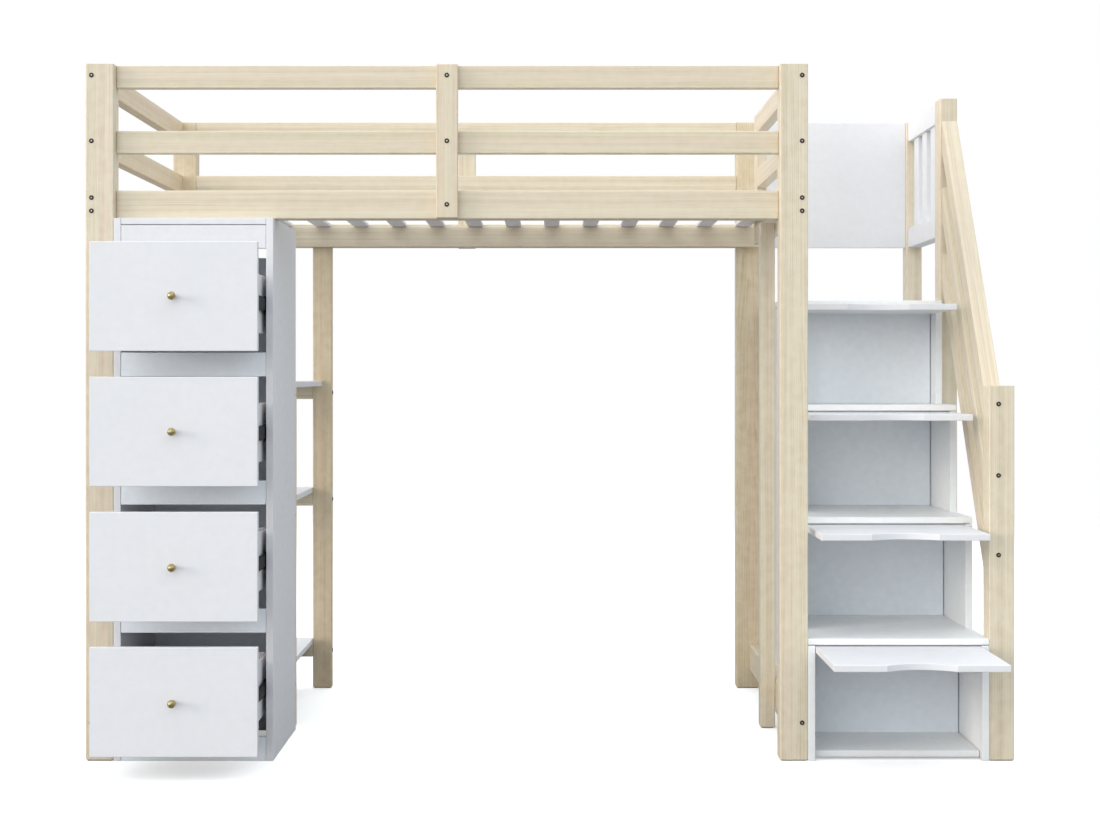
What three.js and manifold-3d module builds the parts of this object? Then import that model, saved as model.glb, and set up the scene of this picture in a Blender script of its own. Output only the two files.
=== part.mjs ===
// Loft bed with a drawer cabinet, a shelf bay and a storage staircase.
// Millimetres, +Z up. X runs along the bed, 0 at the middle of the whole object. Y is 0 at the
// front faces of the bed posts and grows towards the wall. The finished group is then moved so
// that its origin lies under the middle of its bounding box.
import * as THREE from "three";
import { mergeVertices } from "three/addons/utils/BufferGeometryUtils.js";
import Module from "manifold-3d";

const wasm = await Module();
wasm.setup();

// Bed frame, pine
const bedLength = 2024;
const bedDepth = 1090;
const postHeight = 1953;
const postWidth = 79;
const postDepth = 55;
const footChamfer = 5;
const timberEase = 3;
const guardZoneHeight = 432;
const clearUnderBed = postHeight - guardZoneHeight;
const longRailThickness = 28;
const guardRailHeight = 64;
const middleRailDrop = 184;
const sideRailHeight = 80;
const endRailThickness = 34;
const stretcherBottom = 64;
const stretcherHeight = 87;
const stileWidth = 61;
const guardStileDepth = 65;
const guardStileSetback = 240;
const guardStileFront = bedDepth - guardStileSetback;
const supportPostSize = 45;
const supportPostFront = 412;
const supportPostRise = 26;
const supportPostHeight = clearUnderBed + supportPostRise;

// Slatted deck
const slatCount = 15;
const slatFirstGap = 68;
const slatWidth = 52;
const slatThickness = 12;
const slatEndGap = 2;
const ledgerHeight = 70;
const ledgerThickness = 28;
const ledgerOverlap = 72;

// Drawer cabinet, white panels
const cabinetWidth = 447;
const cabinetDepth = 395;
const cabinetPanel = 20;
const cabinetTopThickness = 18;
const cabinetBackThickness = 12;
const cabinetBackHeight = 1437;
const crossRailHeight = 67;
const crossRailThickness = 18;
const drawerCount = 4;
const panelEase = 1;

// Drawers
const drawerPulled = 218;
const frontThickness = 18;
const frontReveal = 0.5;
const boxLength = 350;
const boxWall = 12;
const boxBottomThickness = 6;
const boxBottomRaise = 10;
const boxRaise = 54;
const boxTopClearance = 75;

// Telescopic drawer runners: a fixed channel, a middle member that carries the ball rows, and an
// inner channel on the drawer box
const runnerHeight = 45;
const runnerSpace = 13;
const runnerWall = 1.4;
const runnerLip = 3.2;
const runnerGap = 0.4;
const channelReach = 9;
const channelLength = 350;
const channelSetback = 4;
const middleLength = 330;
const middleSetback = 14;
const middleWebOffset = 0.6;
const middleReach = 11;
const middleHalfHeight = 15.9;
const ballRadius = 1.45;
const outerBallLine = 5.45;
const innerBallLine = 7.55;
const innerHalfHeight = 9.4;
const innerReach = 8.6;
const innerLip = 2;

// Brass knobs
const knobRadius = 11;
const knobNeckRadius = 4;
const knobNeckLength = 10;
const knobBaseRadius = 7.5;
const knobBaseThickness = 2.5;
const knobSink = 0.5;

// Shelf bay behind the cabinet
const shelfPostWidth = 66;
const shelfPostInset = 44;
const shelfThickness = 18;
const shelfTops = [171, 693, 1061];
const shelfRailHeight = 45;
const upperShelfOverhang = 33;

// Staircase, white stacked boxes
const stairWidth = 507;
const stepCount = 4;
const stepRun = 178;
const firstTreadTop = 343;
const landingDrop = 206;
const treadThickness = 18;
const stairPanel = 20;
const stairCaseDepth = 612;
const compartmentDepth = 252;
const stairBackThickness = 12;
const stairFloorTop = 25;
const stairFloorThickness = 18;
const stairFloorSetback = 20;
const landingRearThickness = 18;

// Lift-up flaps in the risers
const flapThickness = 18;
const flapTopGap = 4.5;
const flapBottomGap = 15.5;
const flapSideGap = 1.5;
const pinRadius = 4;
const pinReach = 9;
const pinClearance = 0.4;
const pinEndGap = 1;
const fingerChord = 187;
const fingerDepth = 29;

// Stair posts, handrails and landing guards
const newelWidth = 71;
const newelDepth = 65;
const newelHeight = 1051;
const stairPostWidth = 54;
const upperNewelFront = 560;
const upperNewelDepth = 69;
const handrailThickness = 48;
const handrailHeight = 106;
const handrailSpacing = 209;
const handrailCount = 3;
const handrailLowDrop = 32;
const handrailHighDrop = 70;
const sideGuardThickness = 48;
const sideGuardRailHeight = 67;
const sideGuardSlatCount = 3;
const sideGuardSlatWidth = 58;
const sideGuardSlatThickness = 20;
const sideGuardSlatInset = 8;
const backPanelThickness = 18;
const backPanelSetback = 10;

const roundSides = 20;
const cutOverrun = 2;

// Places that several pieces share
const overallLength = bedLength + stairWidth + newelWidth;
const bedLeft = -overallLength / 2;
const bedRight = bedLeft + bedLength;
const innerLeft = bedLeft + postWidth;
const innerRight = bedRight - postWidth;
const backFace = bedDepth - postDepth;
const frontRailFront = postDepth - longRailThickness;
const backRailBack = backFace + longRailThickness;
const bedMiddle = (bedLeft + bedRight) / 2;
const deckBottom = clearUnderBed + ledgerHeight;
const stairLeft = bedRight;
const stairRight = stairLeft + stairWidth;
const stairInnerLeft = stairLeft + stairPanel;
const stairInnerRight = stairRight - stairPanel;
const guardRailLevels = [
  [postHeight - guardRailHeight, postHeight],
  [postHeight - middleRailDrop - guardRailHeight, postHeight - middleRailDrop],
  [clearUnderBed, clearUnderBed + sideRailHeight],
];

const pine = () => new THREE.MeshStandardMaterial({ color: 0xdccfb6, roughness: 0.55, metalness: 0 });
const whitePanel = () => new THREE.MeshStandardMaterial({ color: 0xe9e9ed, roughness: 0.4, metalness: 0 });
const brass = () => new THREE.MeshStandardMaterial({ color: 0x9a7b48, roughness: 0.35, metalness: 0.9 });
const blackSteel = () => new THREE.MeshStandardMaterial({ color: 0x1b1c1f, roughness: 0.45, metalness: 0.7 });

const loftBed = new THREE.Group();

function place(name, geometry, material) {
  const mesh = new THREE.Mesh(geometry, material());
  mesh.name = name;
  loftBed.add(mesh);
}

// A closed geometry as a solid that can be cut and joined, and back again.
function solid(geometry) {
  const bare = geometry.clone();
  bare.deleteAttribute("normal");
  bare.deleteAttribute("uv");
  const merged = mergeVertices(bare);
  return new wasm.Manifold(
    new wasm.Mesh({
      numProp: 3,
      vertProperties: merged.attributes.position.array,
      triVerts: new Uint32Array(merged.index.array),
    }),
  );
}

function shell(body) {
  const mesh = body.getMesh();
  const geometry = new THREE.BufferGeometry();
  geometry.setAttribute("position", new THREE.BufferAttribute(mesh.vertProperties, 3));
  geometry.setIndex(new THREE.BufferAttribute(mesh.triVerts, 1));
  geometry.computeVertexNormals();
  return geometry;
}

function joined(geometries) {
  return shell(geometries.map(solid).reduce((whole, piece) => whole.add(piece)));
}

const axisVector = (axis, sign = 1) => new THREE.Vector3().setComponent(axis, sign);
const outlineShape = (points) => new THREE.Shape(points.map(([a, b]) => new THREE.Vector2(a, b)));

// An extrusion whose outline lies in the plane of two directions. It runs from start along the
// third direction, which completes a right-handed set.
function extruded(shape, length, across, up, start, options = {}) {
  const run = new THREE.Vector3().crossVectors(across, up);
  const geometry = new THREE.ExtrudeGeometry(shape, {
    depth: length,
    bevelEnabled: false,
    curveSegments: 1,
    ...options,
  });
  geometry.applyMatrix4(new THREE.Matrix4().makeBasis(across, up, run));
  return geometry.translate(start.x, start.y, start.z);
}

function easedRectangle(low, high, ease) {
  const shape = new THREE.Shape();
  shape.absarc(high[0] - ease, high[1] - ease, ease, 0, Math.PI / 2);
  shape.absarc(low[0] + ease, high[1] - ease, ease, Math.PI / 2, Math.PI);
  shape.absarc(low[0] + ease, low[1] + ease, ease, Math.PI, Math.PI * 1.5);
  shape.absarc(high[0] - ease, low[1] + ease, ease, Math.PI * 1.5, Math.PI * 2);
  return shape;
}

// A sawn board between two corners, with the four edges along its length eased.
function board(x, y, z, ease) {
  const low = [x[0], y[0], z[0]];
  const high = [x[1], y[1], z[1]];
  const size = high.map((value, axis) => value - low[axis]);
  const run = size.indexOf(Math.max(...size));
  const across = (run + 1) % 3;
  const up = (run + 2) % 3;
  const section = easedRectangle([low[across], low[up]], [high[across], high[up]], ease);
  const start = axisVector(run, low[run]);
  return extruded(section, size[run], axisVector(across), axisVector(up), start);
}

const timber = (x, y, z) => board(x, y, z, timberEase);
const panel = (x, y, z) => board(x, y, z, panelEase);

// An upright with eased edges and a chamfer round its foot.
function post(x, y, height) {
  const section = outlineShape([
    [x[0], y[0]],
    [x[1], y[0]],
    [x[1], y[1]],
    [x[0], y[1]],
  ]);
  const start = new THREE.Vector3(0, 0, footChamfer);
  const chamfered = extruded(section, height, axisVector(0), axisVector(1), start, {
    bevelEnabled: true,
    bevelSize: footChamfer,
    bevelOffset: -footChamfer,
    bevelThickness: footChamfer,
    bevelSegments: 1,
  });
  return shell(solid(chamfered).intersect(solid(timber(x, y, [0, height]))));
}

function bedPosts() {
  const left = [bedLeft, innerLeft];
  const right = [innerRight, bedRight];
  const front = [0, postDepth];
  const back = [backFace, bedDepth];
  place("post_front_left", post(left, front, postHeight), pine);
  place("post_front_right", post(right, front, postHeight), pine);
  place("post_back_left", post(left, back, postHeight), pine);
  place("post_back_right", post(right, back, postHeight), pine);
}

// Three rails between the front posts, with a stile planted on their face.
function frontGuard() {
  const names = ["front_rail_top", "front_rail_middle", "front_rail_bottom"];
  guardRailLevels.forEach((level, i) => {
    place(names[i], timber([innerLeft, innerRight], [frontRailFront, postDepth], level), pine);
  });
  const stileX = [bedMiddle - stileWidth / 2, bedMiddle + stileWidth / 2];
  place("front_stile", timber(stileX, [0, frontRailFront], [clearUnderBed, postHeight]), pine);
}

// The same three rails at the wall side, glued up with their stile as one frame.
function backGuard() {
  const rails = guardRailLevels.map((level) =>
    timber([innerLeft, innerRight], [backFace, backRailBack], level),
  );
  const stileX = [bedMiddle - stileWidth / 2, bedMiddle + stileWidth / 2];
  const stile = timber(stileX, [backRailBack, bedDepth], [clearUnderBed, postHeight]);
  place("back_guard", joined([...rails, stile]), pine);
}

// End rails between front and back posts, flush with the posts' outer faces.
function leftEnd() {
  const x = [bedLeft, bedLeft + endRailThickness];
  const names = ["left_end_rail_top", "left_end_rail_middle", "left_end_rail_bottom"];
  guardRailLevels.forEach((level, i) => {
    place(names[i], timber(x, [postDepth, backFace], level), pine);
  });
  const low = [stretcherBottom, stretcherBottom + stretcherHeight];
  place("left_end_stretcher", timber(x, [postDepth, backFace], low), pine);
}

// The right end guard stops at a stile of its own, short of the back post.
function rightEnd() {
  const x = [bedRight - endRailThickness, bedRight];
  const rails = guardRailLevels.map((level) => timber(x, [postDepth, guardStileFront], level));
  const stileY = [guardStileFront, guardStileFront + guardStileDepth];
  const stile = timber(x, stileY, [clearUnderBed, postHeight]);
  place("right_end_guard", joined([...rails, stile]), pine);
  const low = [stretcherBottom, stretcherBottom + stretcherHeight];
  place("right_end_stretcher", timber(x, [postDepth, backFace], low), pine);
  const supportX = [x[0] - supportPostSize, x[0]];
  const supportY = [supportPostFront, supportPostFront + supportPostSize];
  place("support_post", post(supportX, supportY, supportPostHeight), pine);
}

// Slats screwed down on a ledger along each side rail.
function slatRack() {
  const endLeft = bedLeft + endRailThickness;
  const endRight = bedRight - endRailThickness;
  const ledgerZ = [clearUnderBed, deckBottom];
  const frontLedger = timber([endLeft, endRight], [postDepth, postDepth + ledgerThickness], ledgerZ);
  const backLedgerX = [endLeft, innerRight + ledgerOverlap];
  const backLedger = timber(backLedgerX, [backFace - ledgerThickness, backFace], ledgerZ);
  const firstSlat = endLeft + slatFirstGap;
  const slatPitch = (endRight - slatEndGap - slatWidth - firstSlat) / (slatCount - 1);
  const slatY = [postDepth + slatEndGap, backFace - slatEndGap];
  const slats = [];
  for (let i = 0; i < slatCount; i++) {
    const x = firstSlat + i * slatPitch;
    slats.push(board([x, x + slatWidth], slatY, [deckBottom, deckBottom + slatThickness], panelEase));
  }
  place("slat_rack", joined([frontLedger, backLedger, ...slats]), whitePanel);
}

// Drawer cabinet
const cabinetLeft = innerLeft;
const cabinetRight = cabinetLeft + cabinetWidth;
const cabinetInnerLeft = cabinetLeft + cabinetPanel;
const cabinetInnerRight = cabinetRight - cabinetPanel;
const crossRailCount = drawerCount + 1;
const bayHeight = (clearUnderBed - cabinetTopThickness - crossRailCount * crossRailHeight) / drawerCount;
const bayPitch = bayHeight + crossRailHeight;
const boxHeight = bayHeight - boxRaise - boxTopClearance;
const bayBottom = (bay) => crossRailHeight + bay * bayPitch;
const runnerCentre = (bay) => bayBottom(bay) + boxRaise + boxHeight / 2;

// One runner member: its section is drawn with u away from the cabinet side and v up, as an upper
// half that is mirrored below the centre line.
function runnerMember(upperHalf, side, y, z) {
  const lowerHalf = upperHalf.map(([u, v]) => [u, -v]).reverse();
  const shape = outlineShape([...upperHalf, ...lowerHalf]);
  const length = y[1] - y[0];
  const isLeft = side === "left";
  const start = new THREE.Vector3(isLeft ? cabinetInnerLeft : cabinetInnerRight, isLeft ? y[1] : y[0], z);
  return extruded(shape, length, axisVector(0, isLeft ? 1 : -1), axisVector(2), start);
}

// The rounded tip of a ball row, from its web side round to its drawer side.
function ballRow(line, tip, root) {
  const up = Math.sign(tip - root);
  const points = [[line - ballRadius, root]];
  const steps = 4;
  for (let i = 0; i <= steps; i++) {
    const angle = (Math.PI * i) / steps;
    points.push([
      line - ballRadius * Math.cos(angle),
      tip - up * ballRadius + up * ballRadius * Math.sin(angle),
    ]);
  }
  points.push([line + ballRadius, root]);
  return points;
}

const halfRunner = runnerHeight / 2;
const fixedChannelHalf = [
  [0, halfRunner],
  [channelReach, halfRunner],
  [channelReach, halfRunner - runnerWall - runnerLip],
  [channelReach - runnerWall, halfRunner - runnerWall - runnerLip],
  [channelReach - runnerWall, halfRunner - runnerWall],
  [runnerWall, halfRunner - runnerWall],
];
const middleWeb = runnerWall + middleWebOffset;
const middleInside = middleHalfHeight - runnerWall;
const middleMemberHalf = [
  [middleWeb, middleHalfHeight],
  ...ballRow(outerBallLine, halfRunner - runnerWall - runnerGap, middleHalfHeight),
  [middleReach, middleHalfHeight],
  [middleReach, middleInside],
  ...ballRow(innerBallLine, innerHalfHeight + runnerGap, middleInside).reverse(),
  [middleWeb + runnerWall, middleInside],
];
const innerTip = runnerSpace - innerReach;
const innerChannelHalf = [
  [runnerSpace, innerHalfHeight],
  [innerTip + runnerWall, innerHalfHeight],
  [innerTip + runnerWall, innerHalfHeight + innerLip],
  [innerTip, innerHalfHeight + innerLip],
  [innerTip, innerHalfHeight - runnerWall],
  [runnerSpace - runnerWall, innerHalfHeight - runnerWall],
];

// Two sides, the cross rails between the drawers, the top board and the fixed runner channels.
function cabinetCarcass() {
  const sideZ = [0, clearUnderBed - cabinetTopThickness];
  const pieces = [
    panel([cabinetLeft, cabinetInnerLeft], [0, cabinetDepth], sideZ),
    panel([cabinetInnerRight, cabinetRight], [0, cabinetDepth], [0, clearUnderBed]),
    panel([cabinetLeft, cabinetInnerRight], [0, cabinetDepth], [sideZ[1], clearUnderBed]),
  ];
  for (let i = 0; i < crossRailCount; i++) {
    const z = i * bayPitch;
    const x = [cabinetInnerLeft, cabinetInnerRight];
    pieces.push(panel(x, [0, crossRailThickness], [z, z + crossRailHeight]));
  }
  const channelY = [channelSetback, channelSetback + channelLength];
  for (let bay = 0; bay < drawerCount; bay++) {
    for (const side of ["left", "right"]) {
      pieces.push(runnerMember(fixedChannelHalf, side, channelY, runnerCentre(bay)));
    }
  }
  place("cabinet_carcass", joined(pieces), whitePanel);
}

function cabinetBack() {
  const y = [cabinetDepth - cabinetBackThickness, cabinetDepth];
  const z = [0, cabinetBackHeight];
  place("cabinet_back", panel([cabinetInnerLeft, cabinetInnerRight], y, z), whitePanel);
}

// A drawer pulled out by drawerPulled: the overlay front, the open box with its inner runner
// channels, the ball knob and the two middle runner members, which travel half as far.
function drawer(bay) {
  const name = `drawer_${bay + 1}`;
  const boxFront = -drawerPulled;
  const boxBack = boxFront + boxLength;
  const frontX = [cabinetLeft + frontReveal, cabinetRight - frontReveal];
  const frontZ = [bayBottom(bay) + frontReveal, bayBottom(bay) + bayHeight - frontReveal];
  place(`${name}_front`, panel(frontX, [boxFront - frontThickness, boxFront], frontZ), whitePanel);

  const boxX = [cabinetInnerLeft + runnerSpace, cabinetInnerRight - runnerSpace];
  const innerX = [boxX[0] + boxWall, boxX[1] - boxWall];
  const boxZ = [bayBottom(bay) + boxRaise, bayBottom(bay) + boxRaise + boxHeight];
  const bottomZ = [boxZ[0] + boxBottomRaise, boxZ[0] + boxBottomRaise + boxBottomThickness];
  const runnerY = [boxFront, boxBack];
  place(
    `${name}_box`,
    joined([
      panel([boxX[0], innerX[0]], [boxFront, boxBack], boxZ),
      panel([innerX[1], boxX[1]], [boxFront, boxBack], boxZ),
      panel(innerX, [boxFront, boxFront + boxWall], boxZ),
      panel(innerX, [boxBack - boxWall, boxBack], [bottomZ[1], boxZ[1]]),
      panel(innerX, [boxFront + boxWall, boxBack], bottomZ),
      runnerMember(innerChannelHalf, "left", runnerY, runnerCentre(bay)),
      runnerMember(innerChannelHalf, "right", runnerY, runnerCentre(bay)),
    ]),
    whitePanel,
  );

  const knobX = (cabinetLeft + cabinetRight) / 2;
  const knobZ = (frontZ[0] + frontZ[1]) / 2;
  place(`${name}_knob`, ballKnob().translate(knobX, boxFront - frontThickness, knobZ), brass);

  const middleFront = middleSetback - drawerPulled / 2;
  for (const side of ["left", "right"]) {
    const y = [middleFront, middleFront + middleLength];
    const member = runnerMember(middleMemberHalf, side, y, runnerCentre(bay));
    place(`${name}_runner_${side}`, member, blackSteel);
  }
}

// A turned knob with its base on the XZ plane and its ball towards -Y.
const knobBallCentre = knobBaseThickness + knobNeckLength - knobSink + knobRadius;
const knobReach = knobBallCentre + knobRadius;
function ballKnob() {
  const profile = [
    [0, 0],
    [knobBaseRadius, 0],
    [knobBaseRadius, knobBaseThickness / 2],
    [knobNeckRadius, knobBaseThickness],
  ];
  const neckAngle = Math.asin(knobNeckRadius / knobRadius);
  const steps = 8;
  for (let i = 0; i <= steps; i++) {
    const angle = Math.PI - neckAngle - ((Math.PI - neckAngle) * i) / steps;
    profile.push([knobRadius * Math.sin(angle), knobBallCentre + knobRadius * Math.cos(angle)]);
  }
  profile[profile.length - 1][0] = 0;
  const points = profile.map(([r, along]) => new THREE.Vector2(r, along));
  return new THREE.LatheGeometry(points, roundSides).rotateX(Math.PI);
}

// Shelf bay: a short post and three cleat rails in the plane of the back rails, and three shelves
// between them and the back of the cabinet.
const shelfPostLeft = cabinetRight - shelfPostInset;
function shelfFrame() {
  const y = [backFace, backRailBack];
  const upright = post([shelfPostLeft, shelfPostLeft + shelfPostWidth], y, clearUnderBed);
  const rails = shelfTops.map((top) => {
    const z = top - shelfThickness;
    return timber([innerLeft, shelfPostLeft], y, [z - shelfRailHeight, z]);
  });
  place("shelf_frame", joined([upright, ...rails]), pine);
}

function shelves() {
  const names = ["shelf_lower", "shelf_middle", "shelf_upper"];
  shelfTops.forEach((top, i) => {
    const overhang = i === shelfTops.length - 1 ? upperShelfOverhang : 0;
    const right = shelfPostLeft + overhang;
    const outline = overhang
      ? [
          [innerLeft, cabinetDepth],
          [right, cabinetDepth],
          [right, backFace],
          [shelfPostLeft, backFace],
          [shelfPostLeft, backRailBack],
          [innerLeft, backRailBack],
        ]
      : [
          [innerLeft, cabinetDepth],
          [right, cabinetDepth],
          [right, backRailBack],
          [innerLeft, backRailBack],
        ];
    const start = new THREE.Vector3(0, 0, top - shelfThickness);
    const slab = extruded(outlineShape(outline), shelfThickness, axisVector(0), axisVector(1), start);
    place(names[i], slab, whitePanel);
  });
}

// Staircase: each step is a box with its tread on top, and stands on the tread below it.
const stepRise = (clearUnderBed - landingDrop - firstTreadTop) / (stepCount - 1);
const stepFront = (step) => step * stepRun;
const treadTop = (step) => firstTreadTop + step * stepRise;
const riserBottom = (step) => (step === 0 ? 0 : treadTop(step - 1));
const pivotHeight = (step) => treadTop(step) - treadThickness - flapTopGap - flapThickness / 2;
const pivotDepth = (step) => stepFront(step) + flapThickness / 2;
const landingHeight = treadTop(stepCount - 1);

function alongX(radius, length, x, y, z) {
  const rod = new THREE.CylinderGeometry(radius, radius, length, roundSides);
  return rod.rotateZ(Math.PI / 2).translate(x + length / 2, y, z);
}

function stepBox(step) {
  const isLanding = step === stepCount - 1;
  const front = stepFront(step);
  const bottom = riserBottom(step);
  const top = treadTop(step);
  const sideZ = [bottom, top - treadThickness];
  const backFront = Math.min(front + compartmentDepth, stairCaseDepth - stairBackThickness);
  const treadBack = isLanding ? bedDepth : stairCaseDepth;
  const inner = [stairInnerLeft, stairInnerRight];
  const floorZ = [stairFloorTop - stairFloorThickness, stairFloorTop];
  const pieces = [
    panel([stairLeft, stairInnerLeft], [front, stairCaseDepth], sideZ),
    panel([stairInnerRight, stairRight], [front, stairCaseDepth], sideZ),
    panel(inner, [backFront, backFront + stairBackThickness], sideZ),
    panel([stairLeft, stairRight], [front, treadBack], [top - treadThickness, top]),
  ];
  if (step === 0) pieces.push(panel(inner, [front + stairFloorSetback, backFront], floorZ));
  const holeRadius = pinRadius + pinClearance;
  const holeDepth = pinReach - flapSideGap + pinEndGap;
  const body = [stairInnerLeft - holeDepth, stairInnerRight - cutOverrun].reduce(
    (rest, x) =>
      rest.subtract(
        solid(alongX(holeRadius, holeDepth + cutOverrun, x, pivotDepth(step), pivotHeight(step))),
      ),
    solid(joined(pieces)),
  );
  place(`step_box_${step + 1}`, shell(body), whitePanel);
}

// The case that carries the landing: two sides and a rear panel, open towards the steps.
function landingCase() {
  const z = [0, landingHeight - treadThickness];
  const rearY = [bedDepth - landingRearThickness, bedDepth];
  place(
    "landing_case",
    joined([
      panel([stairLeft, stairInnerLeft], [stairCaseDepth, bedDepth], z),
      panel([stairInnerRight, stairRight], [stairCaseDepth, bedDepth], z),
      panel([stairInnerLeft, stairInnerRight], rearY, z),
    ]),
    whitePanel,
  );
}

// A riser flap, lifted up to lie flat under its tread. It turns on a pin at each end, and its free
// edge has a shallow cut-out for the fingers. The first riser is the tallest, and so is its flap.
const flapTop = (step) => treadTop(step) - treadThickness - flapTopGap;
const flapHeight = (step) => flapTop(step) - riserBottom(step) - flapBottomGap;
const freeEdgeDepth = (step) => stepFront(step) + flapThickness - flapHeight(step);
function flap(step) {
  const x = [stairInnerLeft + flapSideGap, stairInnerRight - flapSideGap];
  const middle = (x[0] + x[1]) / 2;
  const freeEdge = freeEdgeDepth(step);
  const halfChord = fingerChord / 2;
  const radius = (halfChord ** 2 + fingerDepth ** 2) / (2 * fingerDepth);
  const centreY = freeEdge + fingerDepth - radius;
  const reach = Math.asin(halfChord / radius);
  const outline = [
    [x[0], stepFront(step) + flapThickness],
    [x[0], freeEdge],
  ];
  const steps = 16;
  for (let i = 0; i <= steps; i++) {
    const angle = -reach + (2 * reach * i) / steps;
    outline.push([middle + radius * Math.sin(angle), centreY + radius * Math.cos(angle)]);
  }
  outline.push([x[1], freeEdge], [x[1], stepFront(step) + flapThickness]);
  const start = new THREE.Vector3(0, 0, pivotHeight(step) - flapThickness / 2);
  const leaf = extruded(outlineShape(outline), flapThickness, axisVector(0), axisVector(1), start);
  const pins = [x[0] - pinReach, x[1]].map((pinX) =>
    alongX(pinRadius, pinReach, pinX, pivotDepth(step), pivotHeight(step)),
  );
  place(`flap_${step + 1}`, joined([leaf, ...pins]), whitePanel);
}

function stairPosts() {
  const outer = stairRight + stairPostWidth;
  const upperY = [upperNewelFront, upperNewelFront + upperNewelDepth];
  place("newel_front", post([stairRight, stairRight + newelWidth], [0, newelDepth], newelHeight), pine);
  place("newel_upper", post([stairRight, outer], upperY, postHeight), pine);
  place("stair_back_post", post([stairRight, outer], [backFace, bedDepth], postHeight), pine);
}

// Slanted handrails between the two newels, with plumb-cut ends.
function handrails() {
  const names = ["handrail_top", "handrail_middle", "handrail_bottom"];
  const x = stairRight + stairPostWidth - handrailThickness;
  for (let i = 0; i < handrailCount; i++) {
    const low = newelHeight - handrailLowDrop - i * handrailSpacing;
    const high = postHeight - handrailHighDrop - i * handrailSpacing;
    const outline = outlineShape([
      [newelDepth, low - handrailHeight],
      [upperNewelFront, high - handrailHeight],
      [upperNewelFront, high],
      [newelDepth, low],
    ]);
    const start = new THREE.Vector3(x + timberEase, 0, 0);
    const length = handrailThickness - 2 * timberEase;
    const rail = extruded(outline, length, axisVector(1), axisVector(2), start, {
      bevelEnabled: true,
      bevelSize: timberEase,
      bevelOffset: -timberEase,
      bevelThickness: timberEase,
      bevelSegments: 1,
    });
    place(names[i], rail, pine);
  }
}

// The white guards of the landing: a slatted one on the open side and a plain panel at the back.
function landingGuards() {
  const outer = stairRight + stairPostWidth;
  const x = [outer - sideGuardThickness, outer];
  const y = [upperNewelFront + upperNewelDepth, backFace];
  const lowTop = clearUnderBed + sideGuardRailHeight;
  const highBottom = postHeight - sideGuardRailHeight;
  const slatX = [x[0] + sideGuardSlatInset, x[0] + sideGuardSlatInset + sideGuardSlatThickness];
  const pieces = [
    timber(x, y, [clearUnderBed, lowTop]),
    timber(x, y, [highBottom, postHeight]),
  ];
  const slatSpace = y[1] - y[0] - sideGuardSlatCount * sideGuardSlatWidth;
  const slatGap = slatSpace / (sideGuardSlatCount + 1);
  for (let i = 0; i < sideGuardSlatCount; i++) {
    const front = y[0] + slatGap + i * (slatGap + sideGuardSlatWidth);
    pieces.push(panel(slatX, [front, front + sideGuardSlatWidth], [lowTop, highBottom]));
  }
  place("landing_side_guard", joined(pieces), whitePanel);
  const backFront = backFace + backPanelSetback;
  const backY = [backFront, backFront + backPanelThickness];
  const backZ = [clearUnderBed, postHeight];
  place("landing_back_panel", panel([stairLeft, stairRight], backY, backZ), whitePanel);
}

bedPosts();
frontGuard();
backGuard();
leftEnd();
rightEnd();
slatRack();
cabinetCarcass();
cabinetBack();
for (let bay = 0; bay < drawerCount; bay++) drawer(bay);
shelfFrame();
shelves();
for (let step = 0; step < stepCount; step++) {
  stepBox(step);
  flap(step);
}
landingCase();
stairPosts();
handrails();
landingGuards();

// The first flap reaches furthest forward, and the back posts stand furthest back.
const frontmost = Math.min(freeEdgeDepth(0), -drawerPulled - frontThickness - knobReach);
loftBed.position.y = -(frontmost + bedDepth) / 2;

export default loftBed;
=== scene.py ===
import math
import random

import bpy
from mathutils import Matrix, Vector


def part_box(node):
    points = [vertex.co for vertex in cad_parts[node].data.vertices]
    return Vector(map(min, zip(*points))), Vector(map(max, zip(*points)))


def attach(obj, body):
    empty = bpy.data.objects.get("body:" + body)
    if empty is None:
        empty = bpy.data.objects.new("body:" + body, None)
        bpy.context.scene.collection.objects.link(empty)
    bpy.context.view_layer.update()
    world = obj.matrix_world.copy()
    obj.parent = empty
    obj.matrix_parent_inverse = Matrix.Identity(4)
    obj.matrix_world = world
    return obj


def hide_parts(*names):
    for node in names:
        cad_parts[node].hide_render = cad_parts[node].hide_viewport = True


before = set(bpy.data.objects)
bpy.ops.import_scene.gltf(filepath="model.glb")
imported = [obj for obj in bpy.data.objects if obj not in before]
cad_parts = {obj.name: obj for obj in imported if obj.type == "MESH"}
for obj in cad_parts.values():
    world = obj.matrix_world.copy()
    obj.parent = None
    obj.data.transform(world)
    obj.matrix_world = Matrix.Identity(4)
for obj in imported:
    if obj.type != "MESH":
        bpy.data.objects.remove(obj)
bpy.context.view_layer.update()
bpy.ops.object.select_all(action="DESELECT")


# BED POSTS
# Four square-planed pine posts, clear lacquered. Their long edges are eased, and the foot has a
# chamfer so that it doesn't splinter when the bed is pushed about.

def blank(name, low, high):
    """A sawn blank between two corners. Its place is in its mesh."""
    bpy.ops.object.select_all(action="DESELECT")
    middle = [(a + b) / 2 for a, b in zip(low, high)]
    size = [b - a for a, b in zip(low, high)]
    bpy.ops.mesh.primitive_cube_add(size=1, location=middle, scale=size)
    bpy.ops.object.transform_apply(location=True, rotation=True, scale=True)
    piece = bpy.context.object
    piece.name = name
    piece.data.name = name
    return piece


def pick(piece):
    """Selects one piece and nothing else."""
    bpy.ops.object.select_all(action="DESELECT")
    bpy.context.view_layer.objects.active = piece
    piece.select_set(True)


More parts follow.
